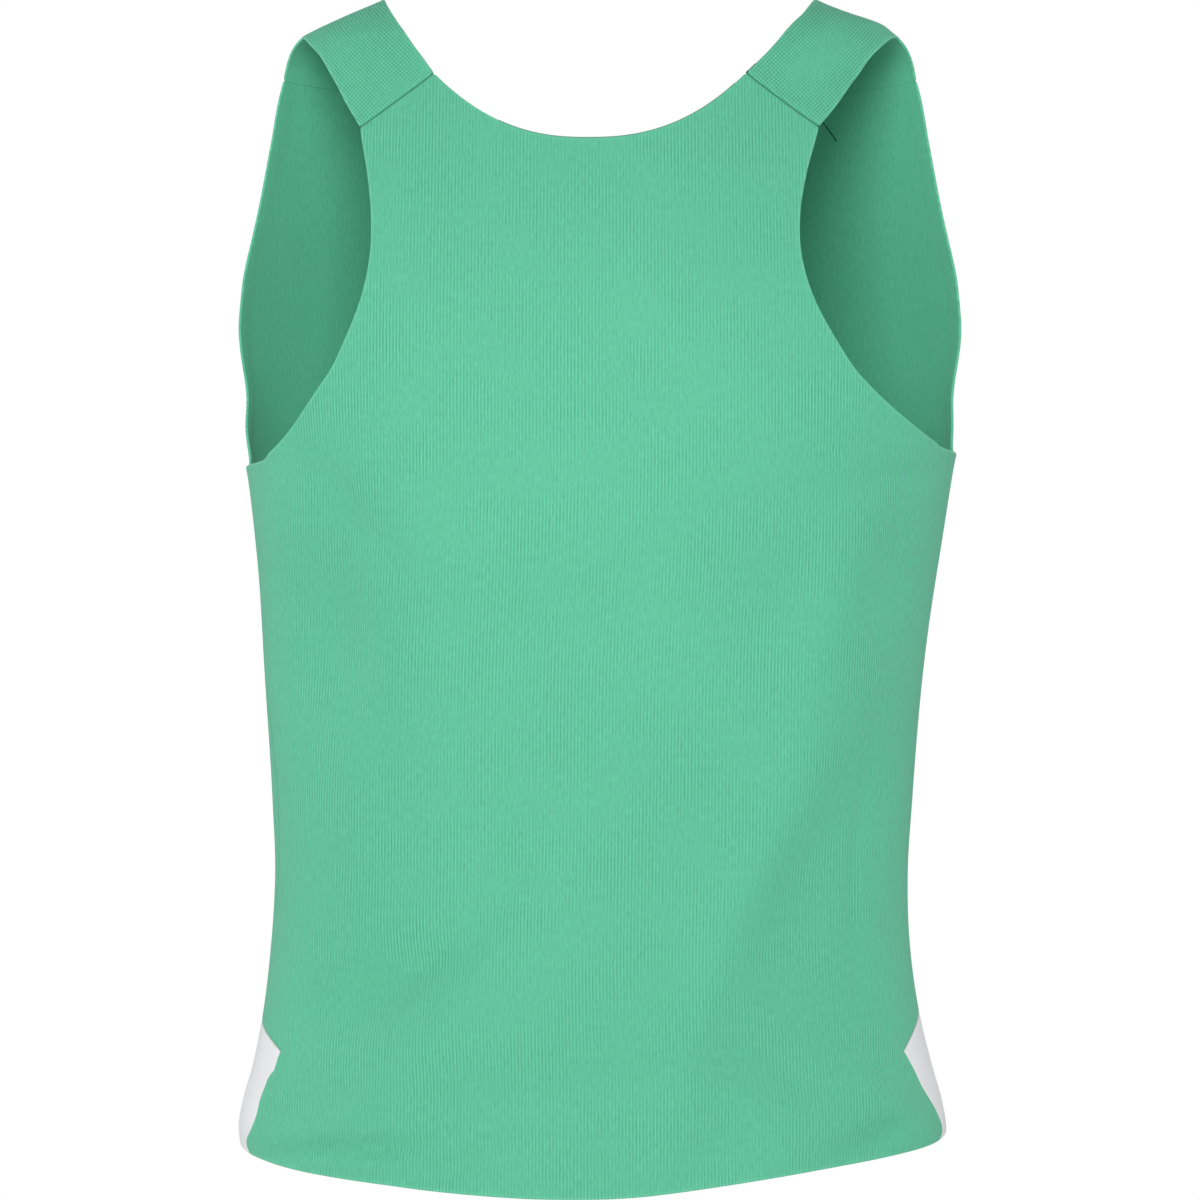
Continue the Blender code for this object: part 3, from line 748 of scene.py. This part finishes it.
def knit(name, deep, bright, edge, shade_colour, pitch, lattice, contrast, bump):
    """Knit cloth. The wales are a sine across the grain; a lattice is that times one along it.

    The ripple's strength is the contrast times uneven patches and breaks, and it dies out in the
    painted shade of seams and of the inner face. Small loops are added to it, and the colour follows
    the sum and a mottle; then a painted highlight lightens free edges and painted shade darkens seams
    and the inner face.
    """
    material, nodes = new_material(name, KNIT_SURFACE)
    shader = nodes["Principled BSDF"]
    grain = nodes.new("ShaderNodeUVMap")
    grain.uv_map = "grain"
    grain = grain.outputs[0]
    parts = nodes.new("ShaderNodeSeparateXYZ")
    link(nodes, grain, parts.inputs[0])
    attribute = nodes.new("ShaderNodeAttribute")
    attribute.attribute_name = "painted_light_and_shade"
    painted_light_and_shade = attribute.outputs["Fac"]
    # The attribute's minus part is painted shade on seams and the inner face, its plus part a painted
    # highlight on free edges.
    painted_shade = arithmetic(nodes, "MAXIMUM", arithmetic(nodes, "MULTIPLY", painted_light_and_shade, -1.0), 0.0)
    painted_highlight = arithmetic(nodes, "MULTIPLY", arithmetic(nodes, "MAXIMUM", painted_light_and_shade, 0.0), RIM_HIGHLIGHT)
    plain = arithmetic(nodes, "SUBTRACT", 1.0, arithmetic(nodes, "MULTIPLY", painted_shade, SHADE_HUSH))
    wales = arithmetic(nodes, "MULTIPLY", parts.outputs[0], 2 * math.pi / pitch)
    ripple = arithmetic(nodes, "SINE", wales)
    if lattice:
        courses = arithmetic(nodes, "MULTIPLY", parts.outputs[1], 2 * math.pi / pitch)
        ripple = arithmetic(nodes, "MULTIPLY", ripple, arithmetic(nodes, "SINE", courses))
    patches = noise(nodes, grain, PATCH_SCALE, PATCH_DETAIL)
    patches = arithmetic(nodes, "SUBTRACT", patches, PATCH_LEVEL)
    breaks = noise(nodes, grain, BREAK_SCALE, LOOP_DETAIL, LOOP_STRETCH)
    strength = contrast
    for factor in (patches, breaks, plain):
        strength = arithmetic(nodes, "MULTIPLY", arithmetic(nodes, "MAXIMUM", factor, 0.0), strength)
    loops = noise(nodes, grain, LOOP_SCALE, LOOP_DETAIL, LOOP_STRETCH)
    yarn = arithmetic(nodes, "ADD", arithmetic(nodes, "MULTIPLY", ripple, strength), loops)
    mottle = noise(nodes, grain, MOTTLE_SCALE, MOTTLE_DETAIL)
    tone = arithmetic(nodes, "MULTIPLY", yarn, YARN_SHARE)
    tone = arithmetic(nodes, "ADD", tone, arithmetic(nodes, "MULTIPLY", mottle, MOTTLE_SHARE))
    # Painted highlight: towards the edge colour along free edges. Painted shade: towards the shade colour
    # in seams and on the inner face.
    colour = mixed(nodes, painted_highlight, mixed(nodes, tone, deep, bright), edge)
    colour = mixed(nodes, painted_shade, colour, shade_colour)
    link(nodes, colour, shader.inputs["Base Color"])
    relief = nodes.new("ShaderNodeBump")
    relief.inputs["Strength"].default_value = bump
    relief.inputs["Distance"].default_value = YARN_RELIEF
    link(nodes, yarn, relief.inputs["Height"])
    link(nodes, relief.outputs[0], shader.inputs["Normal"])
    return material


green_knit = knit(
    "green_knit", GREEN_DEEP, GREEN_BRIGHT, GREEN_HIGHLIGHT, GREEN_SHADE, WALE_PITCH,
    lattice=False, contrast=3.6, bump=0.45,
)
add_cloth(
    "back_panel", panel(BACK_CUT), panel_seams(BACK_CUT), False, green_knit,
)

# ---- Front panel ----------------------------------------------------------------------------
# The same knit, cut with a deeper scoop neck and armholes that run closer to the front of the
# arm. Its inside shows through the armholes from behind.
FRONT_ARMHOLE = ((0.1676, -0.0406), (0.1746, -0.0712), (0.1800, -0.0973), (0.1861, -0.1240),
                 (0.1905, -0.1430), (0.1932, -0.1660), (0.1918, -0.1880), (0.1890, -0.2080),
                 (0.1883, -0.2250))
FRONT_CUT = {
    "front": True,
    "armhole": FRONT_ARMHOLE,
    "underarm": (math.radians(5), 0.0045),
    "neck_half": 0.1200,
    "neck_corner": -0.0450,
    "neck_low": -0.1520,
    "neck_curve": 2.7,
    "low_share": 0.16,
}
add_cloth(
    "front_panel", panel(FRONT_CUT), panel_seams(FRONT_CUT), True, green_knit,
)

# ---- Shoulder straps ------------------------------------------------------------------------
# Each strap is a short band of the same green in another stitch, which shows as a fine lattice. It
# is sewn to the back and the front, and its long edges are turned in.

# Strap edges: the way from the back seam (0) over the top (1) to the front seam (2), and the
# distance from the centre line. Both edges lie above STRAP_LOWEST.
STRAP_LOWEST = -0.16
HALVINGS = 40
STRAP_COLUMNS = ("way", "out")
STRAP_INNER = ((0, 0.0809), (0.09, 0.0856), (0.21, 0.0919), (0.35, 0.0984), (0.54, 0.1051),
               (0.70, 0.1092), (0.88, 0.1128), (1, 0.1144), (1.3, 0.1170), (2, 0.1200))
STRAP_OUTER = ((0, 0.1180), (0.19, 0.1269), (0.34, 0.1335), (0.45, 0.1387), (0.56, 0.1438),
               (0.70, 0.1499), (0.86, 0.1546), (1, 0.1570), (1.3, 0.1612), (2, 0.1676))
STRAP_ROWS = 56
LATTICE_PITCH = 0.0023


def height_of(angle, out):
    """Height on the shoulder at which a ring angle reaches a sideways distance, by halving."""
    low = np.full(np.shape(angle), STRAP_LOWEST)
    high = np.full(np.shape(angle), SECTIONS[0][0])
    for _ in range(HALVINGS):
        middle = (low + high) / 2
        reach = np.abs(section("lean", middle) + ring_radius(angle, middle) * np.sin(angle))
        low = np.where(reach > out, middle, low)
        high = np.where(reach > out, high, middle)
    return (low + high) / 2


def strap_edge(side, inner):
    """Neck edge or armhole edge of a strap, from the back seam over the shoulder to the front."""
    back, front = strap_corner(side, BACK_CUT, inner), strap_corner(side, FRONT_CUT, inner)
    table = STRAP_INNER if inner else STRAP_OUTER
    way = np.linspace(0, 2, CURVE_SAMPLES)
    ends = abs(back[0]), math.pi / 2, abs(wrapped(front[0]))
    angle = np.interp(way, (0, 1, 2), ends)
    out = through(table, STRAP_COLUMNS, "out", way)
    out += np.clip(1 - way, 0, 1) * (abs(cloth_points(back)[0]) - out[0])
    out += np.clip(way - 1, 0, 1) * (abs(cloth_points(front)[0]) - out[-1])
    curve = marks(side * angle, height_of(angle, out))
    curve[0, 1], curve[-1, 1] = back[1], front[1]
    return curve


def strap_patch(side):
    """One strap, with its long way round the rings."""
    along, across = steps(STRAP_ROWS, True, True), steps(STRAP_COLS, True, True)
    outer, inner = spaced(strap_edge(side, False), along), spaced(strap_edge(side, True), along)
    back, front = spaced(strap_seam(side, BACK_CUT), across), spaced(strap_seam(side, FRONT_CUT), across)
    front = np.stack([wrapped(front[:, 0]), front[:, 1]], axis=-1)
    if side > 0:
        return patch(outer, inner, back, front, along, across)
    return patch(outer[::-1], inner[::-1], front, back, along, across)


strap_knit = knit(
    "strap_knit", GREEN_DEEP, GREEN_BRIGHT, GREEN_HIGHLIGHT, GREEN_SHADE, LATTICE_PITCH,
    lattice=True, contrast=12.0, bump=0.5,
)
for side, word in ((-1, "left"), (1, "right")):
    sewn = [(strap_seam(side, BACK_CUT), *STRAP_SEAM), (strap_seam(side, FRONT_CUT), *STRAP_SEAM)]
    add_cloth(
        f"strap_{word}", [strap_patch(side)], sewn, False, strap_knit,
    )

# ---- White side inserts ---------------------------------------------------------------------
# A small kite of smooth white knit across each side seam at the hem, set into notches of the
# back and front.
WHITE_DEEP = (0.800, 0.815, 0.830, 1.0)
WHITE_BRIGHT = (0.880, 0.890, 0.900, 1.0)
# Painted shade colour for the insert's seams and inner face; its free hem edge takes the bright colour as a
# painted highlight.
WHITE_SHADE = (0.420, 0.520, 0.480, 1.0)
INSERT_PITCH = 0.0011
INSERT_ROWS = 26


def insert_patch(side):
    """White insert across the side seam: a short hem, two slanting sides and a low peak."""
    edges = {}
    for front in (False, True):
        whole_turn = 2 * math.pi if front and side < 0 else 0.0
        edges[front] = [edge - [whole_turn, 0.0] for edge in insert_edges(side, front)]
    first = side < 0
    up = steps(INSERT_ROWS, True, True)
    leading, trailing = steps(NOTCH_COLS, True, False), steps(NOTCH_COLS, False, True)
    peak = joined(spaced(edges[first][1], leading), spaced(edges[not first][1][::-1], trailing))
    across = run_on((leading, NOTCH_COLS), (trailing, NOTCH_COLS))
    hem_angle = np.interp(across, (0, 1), (edges[first][0][0, 0], edges[not first][0][0, 0]))
    hem = marks(hem_angle, hem_height(hem_angle))
    return patch(hem, peak, spaced(edges[first][0], up), spaced(edges[not first][0], up), across, up)


white_knit = knit(
    "white_knit", WHITE_DEEP, WHITE_BRIGHT, WHITE_BRIGHT, WHITE_SHADE, INSERT_PITCH,
    lattice=False, contrast=2.0, bump=0.2,
)
for side, word in ((-1, "left"), (1, "right")):
    sewn = []
    for front in (False, True):
        low, notch = insert_edges(side, front)
        sewn += [(low, *NOTCH_SIDE_SEAM), (notch, *NOTCH_TOP_SEAM)]
    add_cloth(
        f"side_insert_{word}", [insert_patch(side)], sewn, False, white_knit,
    )

# ---- Sewing details and painted shade lines -------------------------------------------------
# Thin dark tubes just past the back neck edge and at the right strap's corner stand for the shaded
# inner side of the turned-in tape: painted shade. A seam allowance's loose end hangs inside the
# right armhole in the same near-black. They are thin tubes along the cloth.
# Near-black green: painted shade for the neck and corner lines, and also the seam tail's colour.
DARK_LINE_SURFACE = {
    "Base Color": (0.004, 0.050, 0.028, 1.0),
    "Roughness": 0.8,
    "Specular IOR Level": 0.1,
}
LINE_SIDES = 8
NECK_SHADE_FROM, NECK_SHADE_TO = -0.052, 0.070
NECK_SHADE_RADIUS = 0.0004
SHADE_LINE_OUT = 0.0005
CORNER_LENGTH = 0.0080
CORNER_RADIUS = 0.00045
TAIL_RADIUS = 0.00042
TAIL_START = (0.0022, 0.0030, 0.0026)
TAIL_REACH = (0.0080, 0.0110, -0.0086)
TAIL_SAG = (0.0, 0.0, -0.0006)
TAIL_SAMPLES = 12

dark_line_material, _ = new_material("dark_line", DARK_LINE_SURFACE)


def add_dark_line(name, path, radius):
    """A round tube: rings of radius r about the path, across each ring's tangent, capped."""
    tangent = np.gradient(path, axis=0)
    tangent /= np.linalg.norm(tangent, axis=1, keepdims=True)
    side = np.cross(tangent, [0.0, 1.0, 0.0])
    side /= np.linalg.norm(side, axis=1, keepdims=True)
    lift = np.cross(tangent, side)
    turn = np.linspace(0, 2 * math.pi, LINE_SIDES, endpoint=False)[:, None]
    rings = path[:, None] + radius * (np.cos(turn) * side[:, None] + np.sin(turn) * lift[:, None])
    index = np.arange(len(path) * LINE_SIDES).reshape(len(path), LINE_SIDES)
    after = np.roll(index, -1, axis=1)
    walls = np.stack([index[:-1], after[:-1], after[1:], index[1:]], axis=-1).reshape(-1, 4)
    mesh = bpy.data.meshes.new(name)
    caps = [index[0, ::-1].tolist(), index[-1].tolist()]
    mesh.from_pydata(rings.reshape(-1, 3).tolist(), [], walls.tolist() + caps)
    mesh.shade_smooth()
    mesh.materials.append(dark_line_material)
    piece = bpy.data.objects.new(name, mesh)
    bpy.context.scene.collection.objects.link(piece)
    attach(piece, "root")


def tucked(curve):
    """The path just past a free edge and behind it, where the shaded inner side of a turned-in tape shows.
    """
    path, normals = cloth_points(curve), cloth_normals(curve)
    past = np.cross(np.gradient(path, axis=0), normals)
    past *= np.sign(past[:, 2:]) / np.linalg.norm(past, axis=1, keepdims=True)
    return path + SHADE_LINE_OUT * (past - normals)


neck_curve = neckline(BACK_CUT)
out = cloth_points(neck_curve)[:, 0]
# Painted shade: a dark tube along the middle of the back neck edge.
add_dark_line("neck_shade_line", tucked(neck_curve[(out > NECK_SHADE_FROM) & (out < NECK_SHADE_TO)]), NECK_SHADE_RADIUS)
corner_curve = strap_edge(1, True)
run = np.linalg.norm(cloth_points(corner_curve) - cloth_points(corner_curve[0]), axis=1)
near_corner = (run < CORNER_LENGTH) & (np.arange(len(run)) < CURVE_SAMPLES / 2)
# Painted shade: a short dark tube at the right strap's inner corner.
add_dark_line("strap_corner_shade_line", tucked(corner_curve[near_corner]), CORNER_RADIUS)
tail_start = cloth_points(strap_corner(1, BACK_CUT, False)) + TAIL_START
share = np.linspace(0, 1, TAIL_SAMPLES)[:, None]
add_dark_line("seam_tail", tail_start + share * TAIL_REACH + share**2 * TAIL_SAG, TAIL_RADIUS)

# ---- Floor, light and camera ----------------------------------------------------------------
# A wide pale floor far below the hem under an even white sky, a soft key over the camera, softer
# lights past both sides and on the chest, and a long lens square on to the back.
FLOOR_LEVEL = -1.10
FLOOR_REACH = 3.5
FLOOR_SOLID = 1.2
FLOOR_SIDES = 96
FLOOR_SURFACE = {"Base Color": (0.93, 0.93, 0.93, 1.0), "Roughness": 0.9}
LEVEL_ONLY = (1.0, 1.0, 0.0)
WHITE = (1.0, 1.0, 1.0, 1.0)
CAMERA_DISTANCE = 2.5
CAMERA_HEIGHT = -0.316
VIEW_WIDTH = 0.6324
SENSOR_WIDTH = 36.0
SKY_FILL = 0.13

turn = np.linspace(0, 2 * math.pi, FLOOR_SIDES, endpoint=False)
floor_mesh = bpy.data.meshes.new("floor")
floor_mesh.from_pydata(
    np.stack([np.cos(turn), np.sin(turn), 0 * turn], axis=-1) * FLOOR_REACH + [0, 0, FLOOR_LEVEL],
    [],
    [tuple(range(FLOOR_SIDES))],
)
floor = bpy.data.objects.new("floor", floor_mesh)
bpy.context.scene.collection.objects.link(floor)
pale, nodes = new_material("pale_floor", FLOOR_SURFACE)
place = nodes.new("ShaderNodeTexCoord").outputs["Object"]
flat_place = nodes.new("ShaderNodeVectorMath")
flat_place.operation = "MULTIPLY"
flat_place.inputs[1].default_value = LEVEL_ONLY
link(nodes, place, flat_place.inputs[0])
length = nodes.new("ShaderNodeVectorMath")
length.operation = "LENGTH"
link(nodes, flat_place.outputs[0], length.inputs[0])
fade = nodes.new("ShaderNodeMapRange")
fade.interpolation_type = "SMOOTHSTEP"
fade.inputs["From Min"].default_value = FLOOR_REACH
fade.inputs["From Max"].default_value = FLOOR_SOLID
link(nodes, length.outputs["Value"], fade.inputs["Value"])
link(nodes, fade.outputs[0], nodes["Principled BSDF"].inputs["Alpha"])
floor_mesh.materials.append(pale)
floor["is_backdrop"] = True

sky = bpy.data.worlds.new("soft_white")
sky.use_nodes = True
nodes = sky.node_tree.nodes
fill = nodes["Background"]
fill.inputs["Color"].default_value = WHITE
fill.inputs["Strength"].default_value = SKY_FILL
backdrop = nodes.new("ShaderNodeBackground")
backdrop.inputs["Color"].default_value = WHITE
chosen = nodes.new("ShaderNodeMixShader")
link(nodes, nodes.new("ShaderNodeLightPath").outputs["Is Camera Ray"], chosen.inputs[0])
link(nodes, fill.outputs[0], chosen.inputs[1])
link(nodes, backdrop.outputs[0], chosen.inputs[2])
link(nodes, chosen.outputs[0], nodes["World Output"].inputs["Surface"])
bpy.context.scene.world = sky
bpy.context.scene.view_settings.view_transform = "Standard"

# Soft boxes, all facing the middle of the garment, with their sizes in metres.
LIGHT_TARGET = (0.0, 0.0, -0.30)
LIGHT_COLUMNS = ("name", "place", "width", "height", "power")
LIGHTS = (
    ("key", (-0.12, -2.0, 0.30), 0.8, 0.8, 35.0),
    ("left", (-2.8, 1.1, 0.6), 1.0, 1.6, 42.0),
    ("right", (2.8, 1.1, 0.6), 1.0, 1.6, 38.0),
    ("front", (0.3, 3.3, 0.7), 1.6, 1.6, 20.0),
)
for row in LIGHTS:
    box = dict(zip(LIGHT_COLUMNS, row))
    lamp = bpy.data.lights.new(box["name"], "AREA")
    lamp.shape = "RECTANGLE"
    lamp.size, lamp.size_y = box["width"], box["height"]
    lamp.energy = box["power"]
    light = bpy.data.objects.new(box["name"], lamp)
    bpy.context.scene.collection.objects.link(light)
    light.location = box["place"]
    light.rotation_mode = "QUATERNION"
    light.rotation_quaternion = (light.location - Vector(LIGHT_TARGET)).to_track_quat("Z", "Y")

camera = bpy.data.objects.new("camera", bpy.data.cameras.new("camera"))
bpy.context.scene.collection.objects.link(camera)
camera.location = (0.0, -CAMERA_DISTANCE, CAMERA_HEIGHT)
camera.rotation_euler = (math.pi / 2, 0.0, 0.0)
camera.data.sensor_width = SENSOR_WIDTH
camera.data.lens = SENSOR_WIDTH * CAMERA_DISTANCE / VIEW_WIDTH
bpy.context.scene.camera = camera

low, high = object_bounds()
